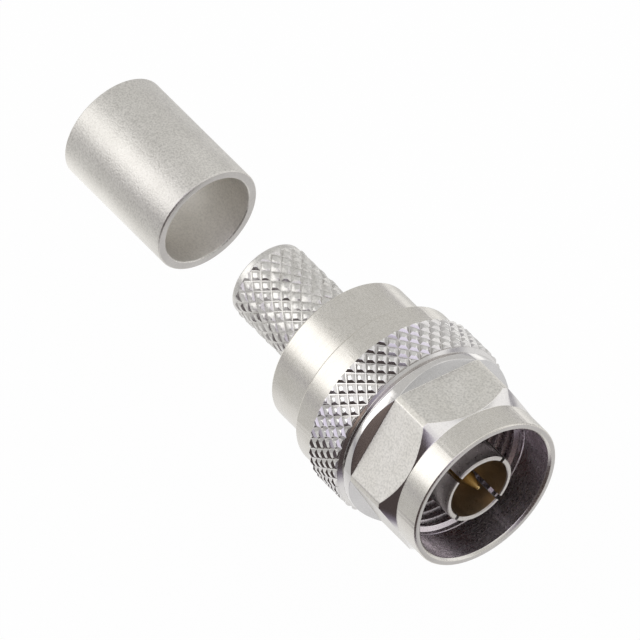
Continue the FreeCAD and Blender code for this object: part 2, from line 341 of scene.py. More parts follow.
def cut_slots(piece: bpy.types.Object, front: float, rear: float, width: float, turn: float,
              reach: float) -> None:
    """Cuts four slots along the axis with two crossing slabs.

    Args:
        piece: The object to cut, which keeps its place.
        front: Where the slots start along the axis.
        rear: Where they end.
        width: The slots' width.
        turn: Angle of the first slot about X, in degrees.
        reach: How far the slabs reach from the axis.
    """
    for extra in (0, 90):
        angle = math.radians(turn + extra)
        along, across = (math.cos(angle), math.sin(angle)), (-math.sin(angle), math.cos(angle))
        points = []
        for x in (rear, front):
            for out, side in SQUARE:
                points.append((x * MM, *((along[axis] * out * reach
                                          + across[axis] * side * width / 2) * MM
                                         for axis in (0, 1))))
        mesh = bpy.data.meshes.new("slab")
        mesh.from_pydata(points, [], SLAB_FACES)
        face_outwards(mesh)
        slab = stand("slab", mesh)
        cut = piece.modifiers.new("slot", "BOOLEAN")
        cut.operation, cut.object, cut.solver = "DIFFERENCE", slab, "EXACT"
        write_cut(piece)
        bpy.data.objects.remove(slab)


def write_cut(piece: bpy.types.Object) -> None:
    """Writes the result of a piece's modifiers into its mesh and shades it again.

    Args:
        piece: The object with the modifiers.
    """
    graph = bpy.context.evaluated_depsgraph_get()
    mesh = bpy.data.meshes.new_from_object(piece.evaluated_get(graph))
    piece.modifiers.clear()
    piece.data = mesh
    shade(mesh)


class DressedPart:
    """A rebuilt piece, which stands for one CAD node and rides on one body."""

    name: ClassVar[str]
    node: ClassVar[str]
    body: ClassVar[Body] = Body.PLUG
    slot: ClassVar[Slot] = Slot.PLATED

    def draft(self) -> MeshDraft:
        """Drafts the piece's mesh, which each kind of piece does in its own way."""
        raise NotImplementedError

    def work(self, piece: bpy.types.Object) -> None:
        """Works on the made piece, such as cutting its slots, where it needs that."""

    def dress(self, finishes: Finishes) -> None:
        """Builds the piece, fixes it to its body and hides its solid.

        Args:
            finishes: The material for each zone.
        """
        piece = self.draft().make(self.name, finishes)
        self.work(piece)
        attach(piece, self.body.value)
        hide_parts(self.node)
        LOG.info("%s: %d points, rides on %s", piece.name, len(piece.data.vertices),
                 self.body.value)


# ---- finishes


@dataclass
class NodeBench:
    """A material's node tree with short calls for the nodes that the finishes share."""

    tree: bpy.types.NodeTree

    def node(self, kind: str, **values: object) -> bpy.types.Node:
        """Adds a node and sets its properties and inputs.

        Args:
            kind: The node's type name.
            values: Properties by name, or inputs by name with spaces written as underscores.

        Returns:
            The new node.
        """
        made = self.tree.nodes.new(kind)
        for name, value in values.items():
            if hasattr(made, name):
                setattr(made, name, value)
            else:
                made.inputs[name.replace("_", " ")].default_value = value
        return made

    def link(self, source: Socket, target: Socket) -> None:
        """Joins two sockets."""
        self.tree.links.new(source, target)

    def place(self) -> Socket:
        """Finds the surface point.

        Returns:
            The point in millimetres, in the plug's frame.
        """
        scaled = self.node("ShaderNodeVectorMath", operation="SCALE", Scale=1 / MM)
        self.link(self.node("ShaderNodeTexCoord").outputs["Object"], scaled.inputs[0])
        return scaled.outputs[0]

    def vector(self, operation: str, source: Socket, other: Sequence[float] = ()) -> Socket:
        """Works out a product, a dot product or a length.

        Args:
            operation: The operation's name in the vector math node.
            source: The vector to start from.
            other: The constant vector of a product or dot product.

        Returns:
            A vector for a product, a value for the others.
        """
        made = self.node("ShaderNodeVectorMath", operation=operation)
        self.link(source, made.inputs[0])
        if other:
            made.inputs[1].default_value = other
        return made.outputs["Vector" if operation == "MULTIPLY" else "Value"]

    def maths(self, operation: str, first: Socket, second: Socket | float) -> Socket:
        """Works out a sum, a product or the larger of two values.

        Args:
            operation: The operation's name in the math node.
            first: The first value.
            second: The second value, a socket or a constant.

        Returns:
            The result.
        """
        made = self.node("ShaderNodeMath", operation=operation)
        self.link(first, made.inputs[0])
        if isinstance(second, float):
            made.inputs[1].default_value = second
        else:
            self.link(second, made.inputs[1])
        return made.outputs[0]

    def noise(self, source: Socket, scale: float, detail: float = 3.0,
              roughness: float = 0.5) -> Socket:
        """Adds a noise that reads a place.

        Args:
            source: The place in millimetres.
            scale: How many waves a millimetre holds.
            detail: How many finer layers are added.
            roughness: How strong the finer layers are.

        Returns:
            The noise's value.
        """
        made = self.node("ShaderNodeTexNoise", Scale=scale, Detail=detail, Roughness=roughness)
        self.link(source, made.inputs["Vector"])
        return made.outputs["Fac"]

    def spread(self, source: Socket, onto: Pair = (0.0, 1.0), over: Pair = (0.3, 0.7)) -> Socket:
        """Maps a value from one span onto another.

        Args:
            source: The value.
            onto: What the ends of the span become.
            over: The span of the value, beyond which the result stays.

        Returns:
            The mapped value.
        """
        made = self.node("ShaderNodeMapRange", From_Min=over[0], From_Max=over[1],
                         To_Min=onto[0], To_Max=onto[1])
        self.link(source, made.inputs["Value"])
        return made.outputs["Result"]

    def blend(self, share: Socket, first: Colour | Socket, second: Colour | Socket) -> Socket:
        """Mixes two colours, each a constant or a socket.

        Args:
            share: The share of the second colour.
            first: The colour at share 0.
            second: The colour at share 1.

        Returns:
            The mixed colour.
        """
        made = self.node("ShaderNodeMix", data_type="RGBA")
        self.link(share, made.inputs[0])
        for socket, value in ((made.inputs[6], first), (made.inputs[7], second)):
            if isinstance(value, tuple):
                socket.default_value = (*value, 1.0)
            else:
                self.link(value, socket)
        return made.outputs[2]

    def bump(self, height: Socket, depth: float, under: Socket | None = None) -> Socket:
        """Adds a bump.

        Args:
            height: The value that gives the height.
            depth: The bump's depth in millimetres.
            under: The normal of a bump below this one, where there is one.

        Returns:
            The bumped normal.
        """
        made = self.node("ShaderNodeBump", Distance=depth * MM)
        self.link(height, made.inputs["Height"])
        if under is not None:
            self.link(under, made.inputs["Normal"])
        return made.outputs[0]

    def glow(self, colour: Socket) -> Socket:
        """Adds a light of strength 1.

        Args:
            colour: The light's colour.

        Returns:
            The light's shader.
        """
        made = self.node("ShaderNodeEmission", Strength=1.0)
        self.link(colour, made.inputs["Color"])
        return made.outputs[0]

    def end(self, share: Socket, first: Socket, second: Socket) -> None:
        """Ends the material in a mix of two shaders.

        Args:
            share: The share of the second shader.
            first: The shader at share 0.
            second: The shader at share 1.
        """
        mix = self.node("ShaderNodeMixShader")
        for source, target in zip((share, first, second), mix.inputs):
            self.link(source, target)
        self.link(mix.outputs[0], self.tree.nodes["Material Output"].inputs["Surface"])


def start_material(name: str) -> tuple[Material, NodeBench, bpy.types.Node]:
    """Starts a material that holds one principled shader.

    Args:
        name: The material's name.

    Returns:
        The material, its bench and the shader node.
    """
    material = bpy.data.materials.new(name)
    material.use_nodes = True
    bench = NodeBench(material.node_tree)
    return material, bench, material.node_tree.nodes["Principled BSDF"]


NICKEL = (0.725, 0.702, 0.675)
NICKEL_SHADE = (0.675, 0.650, 0.615)
NICKEL_LIGHT = (0.80, 0.79, 0.77)
WORN_AND_LIT_YELLOW = (0.80, 0.76, 0.66)


@dataclass(frozen=True)
class MetalFinish:
    """A plated metal surface with the marks that its working left."""

    name: str
    colour: Colour
    shade: Colour
    roughness: float
    grain: Grain = Grain.EVEN
    grain_scale: float = 5.0
    grain_depth: float = 0.001
    # The edge tone paints worn plating together with painted highlight and shade on edges.
    wear_and_light_tone: Colour = WORN_AND_LIT_YELLOW
    wear_and_light_share: float = 0.5
    speck_share: float = 0.2
    line_depth: float = 0.0015

    CLOUD_SCALE: ClassVar[float] = 0.35
    SPECK_DARKNESS: ClassVar[float] = 0.4
    SPECK_SPAN: ClassVar[Pair] = (0.3, 0.62)
    ROUGH_SHARES: ClassVar[Pair] = (0.85, 1.2)
    LINE_STRETCH: ClassVar[Triple] = (7.0, 0.2, 0.2)
    LINE_ROUGHNESS: ClassVar[Pair] = (-0.03, 0.05)

    def material(self) -> Material:
        """Builds the material.

        Returns:
            The material.
        """
        material, bench, shader = start_material(self.name)
        place = bench.place()
        cloud = bench.noise(place, self.CLOUD_SCALE)
        speck = bench.noise(place, self.grain_scale, detail=2.0, roughness=0.6)
        tone = bench.blend(bench.spread(cloud), self.colour, self.shade)
        dark = tuple(value * self.SPECK_DARKNESS for value in self.shade)
        flecks = bench.spread(speck, (self.speck_share, 0.0), self.SPECK_SPAN)
        tone = bench.blend(flecks, tone, dark)
        # Mixes in the edge tone by the mark: wear with painted highlight and shade.
        edge = bench.node("ShaderNodeAttribute", attribute_name=WEAR_AND_LIGHT_ATTRIBUTE)
        share = bench.maths("MULTIPLY", edge.outputs["Fac"], self.wear_and_light_share)
        bench.link(bench.blend(share, tone, self.wear_and_light_tone), shader.inputs["Base Color"])
        shader.inputs["Metallic"].default_value = 1.0
        smooth, coarse = self.ROUGH_SHARES
        rough = bench.spread(speck, (self.roughness * smooth, self.roughness * coarse))
        relief = bench.bump(speck, self.grain_depth)
        if self.grain is Grain.TURNED:
            lines = bench.noise(bench.vector("MULTIPLY", place, self.LINE_STRETCH), 1.0,
                                roughness=0.65)
            rough = bench.maths("ADD", rough, bench.spread(lines, self.LINE_ROUGHNESS))
            relief = bench.bump(lines, self.line_depth, relief)
        bench.link(relief, shader.inputs["Normal"])
        bench.link(rough, shader.inputs["Roughness"])
        return material


@dataclass(frozen=True)
class SoftFinish:
    """A plastic or rubber surface, matte, with a slight mottle."""

    name: str
    colour: Colour
    shade: Colour
    roughness: float
    mottle_scale: float
    mottle_depth: float = 0.01

    def material(self) -> Material:
        """Builds the material.

        Returns:
            The material.
        """
        material, bench, shader = start_material(self.name)
        mottle = bench.noise(bench.place(), self.mottle_scale)
        bench.link(bench.blend(bench.spread(mottle), self.colour, self.shade),
                   shader.inputs["Base Color"])
        shader.inputs["Roughness"].default_value = self.roughness
        bench.link(bench.bump(mottle, self.mottle_depth), shader.inputs["Normal"])
        return material


# Lighter edge tones paint highlight, the yellow one with worn brass; darker ones paint shade.
TURNED_PLATING = MetalFinish("turned_plating", NICKEL, NICKEL_SHADE, 0.26, Grain.TURNED,
                             speck_share=0.3, line_depth=0.0022)
BRIGHT_PLATING = MetalFinish("bright_plating", NICKEL, (0.67, 0.65, 0.65), 0.15,
                             grain_depth=0.0006, wear_and_light_tone=NICKEL_LIGHT)
MILLED_PLATING = MetalFinish("milled_plating", (0.83, 0.81, 0.78), (0.77, 0.75, 0.71), 0.36,
                             grain_scale=4.5, grain_depth=0.004, wear_and_light_share=0.3,
                             speck_share=0.5)
# Near-white edge tone paints highlight on the thread crests.
INSIDE_PLATING = MetalFinish("inside_plating", (0.82, 0.76, 0.79), (0.72, 0.67, 0.70), 0.26,
                             Grain.TURNED, grain_scale=4.0, grain_depth=0.0006,
                             wear_and_light_tone=(0.95, 0.93, 0.93), wear_and_light_share=0.9, line_depth=0.003)
# The darker base paints shade between the pads; the light edge tone paints highlight on the tops.
KNURL_PLATING = MetalFinish("knurl_plating", (0.66, 0.64, 0.62), (0.60, 0.58, 0.58), 0.15,
                            grain_scale=4.0, wear_and_light_tone=(0.82, 0.81, 0.79), wear_and_light_share=0.9)
# The stem's pad tops take a lighter edge tone, a painted highlight.
STEM_PLATING = MetalFinish("stem_plating", (0.75, 0.73, 0.70), (0.68, 0.66, 0.63), 0.33,
                           grain_depth=0.012, wear_and_light_tone=NICKEL_LIGHT, speck_share=0.5)
BLASTED_PLATING = MetalFinish("blasted_plating", (0.78, 0.76, 0.73), (0.72, 0.70, 0.67), 0.40,
                              grain_depth=0.03, wear_and_light_share=0.3, speck_share=0.5)
BLASTED_BORE = MetalFinish("blasted_bore", (0.90, 0.88, 0.85), (0.84, 0.82, 0.79), 0.5,
                           grain_scale=4.5, grain_depth=0.01, wear_and_light_share=0.3, speck_share=0.3)
END_WALL = MetalFinish("end_wall", (0.58, 0.57, 0.57), (0.52, 0.51, 0.51), 0.2,
                       grain_depth=0.0006, wear_and_light_tone=NICKEL_LIGHT, wear_and_light_share=0.4)
# Darker edge tone paints shade along the rounded edges of cut faces.
CUT_FACE = MetalFinish("cut_face", (0.62, 0.60, 0.58), (0.54, 0.52, 0.50), 0.4, grain_scale=4.5,
                       grain_depth=0.004, wear_and_light_tone=(0.50, 0.48, 0.46), wear_and_light_share=0.8,
                       speck_share=0.3)
# Darker edge tone paints shade along the sleeve's rounded edges.
SLEEVE_PLATING = MetalFinish("sleeve_plating", (0.62, 0.60, 0.58), (0.56, 0.54, 0.52), 0.3,
                             grain_scale=4.0, wear_and_light_tone=(0.40, 0.37, 0.34), wear_and_light_share=0.8,
                             speck_share=0.35)
SLEEVE_INSIDE = MetalFinish("sleeve_inside", (0.62, 0.53, 0.41), (0.53, 0.45, 0.35), 0.32,
                            grain_scale=7.0, wear_and_light_tone=(0.6, 0.45, 0.25), speck_share=0.06)
# Pale gold edge tone paints highlight on the pin's rounded edges.
PIN_GOLD = MetalFinish("pin_gold", (0.44, 0.29, 0.08), (0.38, 0.24, 0.065), 0.2, Grain.TURNED,
                       wear_and_light_tone=(0.97, 0.84, 0.52), speck_share=0.1, line_depth=0.001)
RING_BRONZE = MetalFinish("ring_bronze", (0.62, 0.42, 0.22), (0.52, 0.34, 0.17), 0.3,
                          grain_scale=4.0, grain_depth=0.002, wear_and_light_tone=(0.7, 0.5, 0.3))
WHITE_INSULATOR = SoftFinish("white_insulator", (0.88, 0.87, 0.84), (0.80, 0.79, 0.76), 0.45, 0.8)
RED_GASKET = SoftFinish("red_gasket", (0.16, 0.06, 0.045), (0.11, 0.04, 0.03), 0.5, 1.2)


# ---- knurling


@dataclass(frozen=True)
class DiamondKnurl:
    """A band of truncated pyramids between two sets of crossing helical grooves.

    The pads at the ends of the band are cut off, and lean and front_lean say how far their ends
    slope. Wear lowers and widens the tops at random, and jitter shifts them. Each ring of a
    pad's shoulders gives how much wider than the top it is, how far below the crest in shares
    of the pad's height, and its mark: its share of the light edge tone, a painted highlight on
    the top, while the foot keeps the darker base as painted shade.
    """

    front: float
    rows: int
    pitch: float
    count: int
    root: float
    crest: float
    foot_share: float = 0.94
    top_share: float = 0.33
    lean: float = 0.12
    front_lean: float = 0.11
    wear: float = 0.0
    jitter: float = 0.0

    SEED: ClassVar[int] = 11
    FOOT_SPREAD: ClassVar[float] = 1.04
    FOOT_DEPTH: ClassVar[float] = 0.15
    WORN_HEIGHT: ClassVar[float] = 0.5
    WORN_SPREAD: ClassVar[float] = 0.25
    SHOULDERS: ClassVar[Sequence[Triple]] = ((0.17, 0.20, 0.3), (0.08, 0.06, 0.6), (0.0, 0.0, 1.0))
    WHOLE: ClassVar[Sequence[Pair]] = ((-1, 0), (0, 1), (1, 0), (0, -1))
    FRONT_HALF: ClassVar[Sequence[Pair]] = ((0, -1), (0, 1), (1, 0))
    REAR_HALF: ClassVar[Sequence[Pair]] = ((0, 1), (0, -1), (-1, 0))

    def add_to(self, draft: MeshDraft) -> None:
        """Adds every pad of the band to a draft.

        Args:
            draft: The draft to add to.
        """
        chance = random.Random(self.SEED)
        for row in range(self.rows + 1):
            for step in range(row % 2, 2 * self.count, 2):
                self.pad(draft, row, step, chance)

    def pad(self, draft: MeshDraft, row: int, step: int, chance: random.Random) -> None:
        """Adds one pad, cut off with a sloping end where it stands at an end of the band.

        Args:
            draft: The draft to add to.
            row: The pad's row along the axis.
            step: Its place round the axis, in half pitches.
            chance: The source of the pad's wear and of where its top lies.
        """
        worn = self.wear * chance.random()
        slip = chance.uniform(-self.jitter, self.jitter)
        slide = chance.uniform(-self.jitter, self.jitter)
        crest = self.crest - self.WORN_HEIGHT * worn * (self.crest - self.root)
        top_share = self.top_share + self.WORN_SPREAD * worn
        depth = crest - self.root
        shares = [(self.foot_share * self.FOOT_SPREAD, self.root - self.FOOT_DEPTH, 0.0),
                  (self.foot_share, self.root, 0.0)]
        shares += [(top_share + wider, crest - lower * depth, mark)
                   for wider, lower, mark in self.SHOULDERS]
        directions, lean, front_lean = self.WHOLE, 0.0, 0.0
        if row == 0:
            directions, front_lean = self.FRONT_HALF, self.front_lean
        elif row == self.rows:
            directions, lean = self.REAR_HALF, self.lean
        rings = []
        for share, radius, mark in shares:
            low = min(1.0, (crest - radius) / depth)
            rise = 1.0 - low
            ring = []
            for along, across in directions:
                x = self.front - (row + along * share + slip * rise) * self.pitch
                x -= lean * low + front_lean * rise if along == 0 else 0.0
                angle = math.pi * (step + across * share + slide * rise) / self.count
                ring.append(draft.add(x, radius, angle, mark))
            rings.append(ring)
        for below, above in zip(rings, rings[1:]):
            draft.quads(below, above, [Zone.KNURL], closed=True)
        draft.face(rings[-1], Zone.KNURL)
        draft.face(list(reversed(rings[0])), Zone.KNURL)


# ---- the nut

RING_FRONT = -12.92
RING_REAR = -14.08
SIDES = 6


@dataclass
class CouplingNut(DressedPart):
    """The nut: rim, hexagon, flange, knurled band and collar outside, thread and bore inside."""

    name: ClassVar[str] = "nut_dressed"
    node: ClassVar[str] = "coupling_nut"
    body: ClassVar[Body] = Body.NUT

    rim: float = 1.0
    rim_radius: float = 8.87
    rim_edge: float = 0.12
    cone: float = -2.1
    cone_length: float = 1.4
    flat_distance: float = 8.9
    flat_rear: float = -8.2
    flat_reach: float = 27.0
    flat_step: float = 2.0
    wall_lean: float = 0.5
    least_rise: float = 0.04
    corner_radius: float = 10.1
    corner_steps: tuple[float, ...] = (-0.5, -0.18, 0.18, 0.6)
    corner_depth: float = 0.02
    hex_turn: float = -5.55
    flange_rear: float = -9.5
    groove_rear: float = -9.83
    groove_radius: float = 9.6
    knurl: float = -10.15
    knurl_gap: float = 0.01
    knurl_rows: int = 5
    knurl_pitch: float = 0.88
    knurl_count: int = 46
    knurl_root: float = 10.3
    knurl_crest: float = 10.55
    band_slope: float = 0.12
    collar_radius: float = 9.98
    rear: float = -17.7
    rear_edge: float = 0.2
    bore_radius: float = 8.79
    ring_radius: float = 9.3
    relief_rear: float = -10.4
    relief_front: float = -8.9
    relief_radius: float = 8.1
    thread_major: float = 7.94
    thread_minor: float = 7.45
    thread_pitch: float = 25.4 / 24
    thread_bed: float = 0.04
    thread_flank: float = 0.24
    thread_crest: float = 0.08
    thread_steps: int = 120
    thread_ahead: float = 0.9
    thread_beyond: float = 1.2
    crest_round: float = 0.14
    crest_drop: float = 0.07
    crest_limit: float = 7.6
    counterbore: float = -3.1
    counterbore_radius: float = 8.05
    counterbore_slope: float = 0.1
    lead: float = -3.7
    mouth_edge: float = 0.25

    def land(self) -> float:
        """Gives the angle from a flat's middle at which the rounded corner begins."""
        return math.acos(self.flat_distance / self.corner_radius)

    def hexagon(self, offset: float) -> tuple[Corner, Corner, Corner]:
        """Finds the front edge, the rear edge and the end wall's top of a flat.

        Args:
            offset: Angle from the nearest flat's middle, in radians.

        Returns:
            The three corners of the outline at that angle.
        """
        radius = min(self.flat_distance / math.cos(offset), self.corner_radius)
        share = (radius - self.rim_radius) / (self.corner_radius - self.rim_radius)
        rise = max(self.least_rise, self.corner_radius * math.cos(offset) - self.flat_distance)
        return (Corner(self.cone - share * self.cone_length, radius, Edge.EASED, Zone.MILLED),
                Corner(self.flat_rear, radius, Edge.EASED, Zone.WALL),
                Corner(self.flat_rear - self.wall_lean * rise, self.corner_radius, Edge.SOFT,
                       Zone.BRIGHT))

    def outline(self, offset: float) -> list[Corner]:
        """Gives the nut's closed outline at one angle.

        Args:
            offset: Angle from the nearest flat's middle, in radians.

        Returns:
            The outline's corners.
        """
        band_end = self.knurl - self.knurl_rows * self.knurl_pitch - self.band_slope
        thread_base = self.thread_major + self.thread_bed
        return [
            Corner(self.rim, self.counterbore_radius + self.mouth_edge, Edge.SOFT, Zone.CUT),
            *corners(Zone.SATIN, Edge.EASED, (self.rim, self.rim_radius - self.rim_edge),
                     (self.rim - self.rim_edge, self.rim_radius)),
            Corner(self.cone, self.rim_radius, Edge.EASED, Zone.BRIGHT),
            *self.hexagon(offset),
            *corners(Zone.BRIGHT, Edge.SOFT,
                     (self.flange_rear + self.rim_edge, self.corner_radius),
                     (self.flange_rear, self.corner_radius - self.rim_edge),
                     (self.flange_rear, self.groove_radius)),
            Corner(self.groove_rear, self.groove_radius, Edge.SOFT, Zone.KNURL),
            Corner(self.knurl + self.knurl_gap, self.knurl_root, Edge.KEEN, Zone.KNURL),
            Corner(band_end, self.knurl_root, Edge.CRISP),
            Corner(band_end - self.band_slope, self.collar_radius),
            *corners(Zone.SATIN, Edge.ROUND, (self.rear + self.rear_edge, self.collar_radius),
                     (self.rear, self.collar_radius - self.rear_edge)),
            *corners(Zone.INSIDE, Edge.EASED, (self.rear, self.bore_radius + self.rear_edge),
                     (self.rear + self.rear_edge, self.bore_radius)),
            *corners(Zone.INSIDE, Edge.CRISP,
                     (RING_REAR, self.bore_radius), (RING_REAR, self.ring_radius),
                     (RING_FRONT, self.ring_radius), (RING_FRONT, self.bore_radius)),
            *corners(Zone.INSIDE, Edge.FINE, (self.relief_rear, self.bore_radius),
                     (self.relief_rear, self.relief_radius),
                     (self.relief_front, self.relief_radius)),
            *corners(Zone.INSIDE, Edge.CRISP, (self.relief_front, thread_base),
                     (self.counterbore - self.counterbore_slope, thread_base)),
            Corner(self.counterbore, self.counterbore_radius, Edge.EASED, Zone.INSIDE),
            Corner(self.rim - self.mouth_edge, self.counterbore_radius, Edge.EASED),
        ]

    def columns(self) -> list[float]:
        """Lists the angles at which one side of the nut has its outlines.

        Returns:
            The angles from the flat's middle, in degrees and in rising order.
        """
        land = math.degrees(self.land())
        count = round(2 * self.flat_reach / self.flat_step) + 1
        flat = [self.flat_step * number - self.flat_reach for number in range(count)]
        edge = [land + step for step in self.corner_steps]
        return sorted([*flat, *edge, *(-angle for angle in edge), 180 / SIDES])

    def draft(self) -> MeshDraft:
        """Drafts the nut with its thread and knurl.

        Returns:
            The draft.
        """
        draft = MeshDraft()
        outlines, angles = [], []
        for side in range(SIDES):
            middle = math.radians(self.hex_turn + 360 / SIDES * (side + 0.5))
            for degrees in self.columns():
                offset = math.radians(degrees)
                column = softened(self.outline(offset))
                if abs(offset) > self.land():
                    column = [self.worn_and_lit_corner(spot) for spot in column]
                outlines.append(column)
                angles.append(middle + offset)
        draft.loft(outlines, angles)
        self.add_thread(draft)
        DiamondKnurl(self.knurl, self.knurl_rows, self.knurl_pitch, self.knurl_count,
                     self.knurl_root, self.knurl_crest).add_to(draft)
        return draft

    def work(self, piece: bpy.types.Object) -> None:
        """Evens the shading of the flats."""
        even_shading(piece)

    def worn_and_lit_corner(self, spot: Spot) -> Spot:
        """Gives the rounded corner between two flats the full edge tone, a painted highlight with
        wear.

        Args:
            spot: A point of the outline at a corner.

        Returns:
            The point, with the full edge tone where it lies on the corner.
        """
        top = self.corner_radius - self.corner_depth
        if spot.radius > top and self.flat_rear < spot.x < self.cone:
            return replace(spot, mark=1.0)
        return spot

    def add_thread(self, draft: MeshDraft) -> None:
        """Adds the coupling thread as one helical ribbon inside the nut.

        Args:
            draft: The nut's draft.
        """
        pitch, major, minor = self.thread_pitch, self.thread_major, self.thread_minor
        flank, flat = self.thread_flank * pitch, self.thread_crest * pitch
        shoulder = minor + self.crest_drop
        profile = [(0.0, major, 0.0), (flank * (1 - self.crest_round), shoulder, 0.0),
                   (flank, minor, 1.0), (flank + flat, minor, 1.0),
                   (flank * (1 + self.crest_round) + flat, shoulder, 0.0),
                   (2 * flank + flat, major, 0.0), (pitch, major, 0.0)]
        turns = (self.lead - self.relief_front + self.thread_beyond) / pitch
        lead_slope = (self.counterbore_radius - minor) / (self.counterbore - self.lead)
        previous: list[int] = []
        for number in range(int(turns * self.thread_steps)):
            start = self.lead + self.thread_ahead - pitch * number / self.thread_steps
            row = []
            for along, radius, mark in profile:
                x = start - along
                cone = minor + (x - self.lead) * lead_slope
                held = max(radius, min(cone, self.counterbore_radius + self.counterbore_slope))
                if x < self.relief_front:
                    held = max(held, major)
                # Crest points take the full edge tone, a painted highlight along the crests.
                row.append(draft.add(x, held, TURN * number / self.thread_steps,
                                     mark if held < self.crest_limit else 0.0))
            if previous:
                draft.quads(previous, row, [Zone.INSIDE])
            previous = row


# ---- the body and its pieces


@dataclass
class PlugBody(DressedPart):
    """The barrel with its boss in front and the knurled crimp stem behind."""

    name: ClassVar[str] = "body_dressed"
    node: ClassVar[str] = "connector_body"

    boss: float = -9.5
    boss_radius: float = 5.6
    shoulder: float = -11.0
    barrel_radius: float = 8.7
    edge: float = 0.2
    ring_radius: float = 7.75
    barrel_rear: float = -23.5
    neck_radius: float = 4.25
    neck_length: float = 0.4
    stem_root: float = 4.36
    stem_crest: float = 4.58
    stem_rows: int = 13
    stem_pitch: float = 0.86
    stem_count: int = 20
    stem_slope: float = 0.03
    end_radius: float = 4.4
    rear: float = -35.9
    fine_edge: float = 0.12
    stem_bore: float = 3.7
    foot_bore: float = 4.6
    foot_rear: float = -22.3

    def draft(self) -> MeshDraft:
        """Drafts the barrel and stem in one piece.

        Returns:
            The draft.
        """
        knurl = self.barrel_rear - self.neck_length
        knurl_end = knurl - self.stem_rows * self.stem_pitch
        edge, fine = self.edge, self.fine_edge
        draft = turned_piece([
            Corner(self.boss, self.foot_bore + fine),
            *corners(Zone.SATIN, Edge.SOFT, (self.boss, self.boss_radius - edge),
                     (self.boss - edge, self.boss_radius), (self.shoulder, self.boss_radius),
                     (self.shoulder, self.barrel_radius - edge),
                     (self.shoulder - edge, self.barrel_radius)),
            *corners(Zone.SATIN, Edge.CRISP,
                     (RING_FRONT, self.barrel_radius), (RING_FRONT, self.ring_radius),
                     (RING_REAR, self.ring_radius), (RING_REAR, self.barrel_radius)),
            *corners(Zone.SATIN, Edge.FULL, (self.barrel_rear + edge, self.barrel_radius),
                     (self.barrel_rear, self.barrel_radius - edge)),
            Corner(self.barrel_rear, self.neck_radius, Edge.WIDE, Zone.KNURL),
            Corner(knurl, self.neck_radius, Edge.EASED, Zone.KNURL),
            *corners(Zone.KNURL, Edge.CRISP, (knurl, self.stem_root), (knurl_end, self.stem_root),
                     (knurl_end - self.stem_slope, self.end_radius)),
            *corners(Zone.KNURL, Edge.SOFT, (self.rear + fine, self.end_radius),
                     (self.rear, self.end_radius - fine)),
            *corners(Zone.INSIDE, Edge.SOFT, (self.rear, self.stem_bore + fine),
                     (self.rear + fine, self.stem_bore)),
            *corners(Zone.INSIDE, Edge.FINE, (self.foot_rear, self.stem_bore),
                     (self.foot_rear, self.foot_bore), (self.boss - fine, self.foot_bore)),
        ])
        DiamondKnurl(knurl, self.stem_rows, self.stem_pitch, self.stem_count, self.stem_root,
                     self.stem_crest, top_share=0.24, lean=self.stem_slope,
                     front_lean=self.stem_slope, wear=0.9, jitter=0.14).add_to(draft)
        return draft

    def work(self, piece: bpy.types.Object) -> None:
        """Evens the shading of the shoulders."""
        even_shading(piece)


@dataclass
class OuterContact(DressedPart):
    """The slotted spring sleeve with its pressed foot."""

    name: ClassVar[str] = "sleeve_dressed"
    node: ClassVar[str] = "outer_contact"

    bore_radius: float = 3.5
    radius: float = 4.05
    edge: float = 0.1
    foot: float = -9.7
    foot_radius: float = 4.59
    rear: float = -15.5
    slot_length: float = 6.5
    slot_width: float = 0.5
    slot_turn: float = 40.7

    def draft(self) -> MeshDraft:
        """Drafts the sleeve without its slots.

        Returns:
            The draft.
        """
        edge = self.edge
        return turned_piece([
            Corner(0.0, self.bore_radius + edge),
            Corner(0.0, self.radius - edge, Edge.SOFT),
            Corner(-edge, self.radius, Edge.SOFT),
            Corner(self.foot, self.radius),
            Corner(self.foot, self.foot_radius - edge),
            Corner(self.foot - edge, self.foot_radius),
            Corner(self.rear, self.foot_radius),
            Corner(self.rear, self.bore_radius, zone=Zone.INSIDE),
            Corner(-edge, self.bore_radius),
        ], columns=144)

    def work(self, piece: bpy.types.Object) -> None:
        """Cuts the four slots from the front."""
        cut_slots(piece, SLAB_MARGIN, -self.slot_length, self.slot_width, self.slot_turn,
                  self.radius + SLAB_MARGIN)


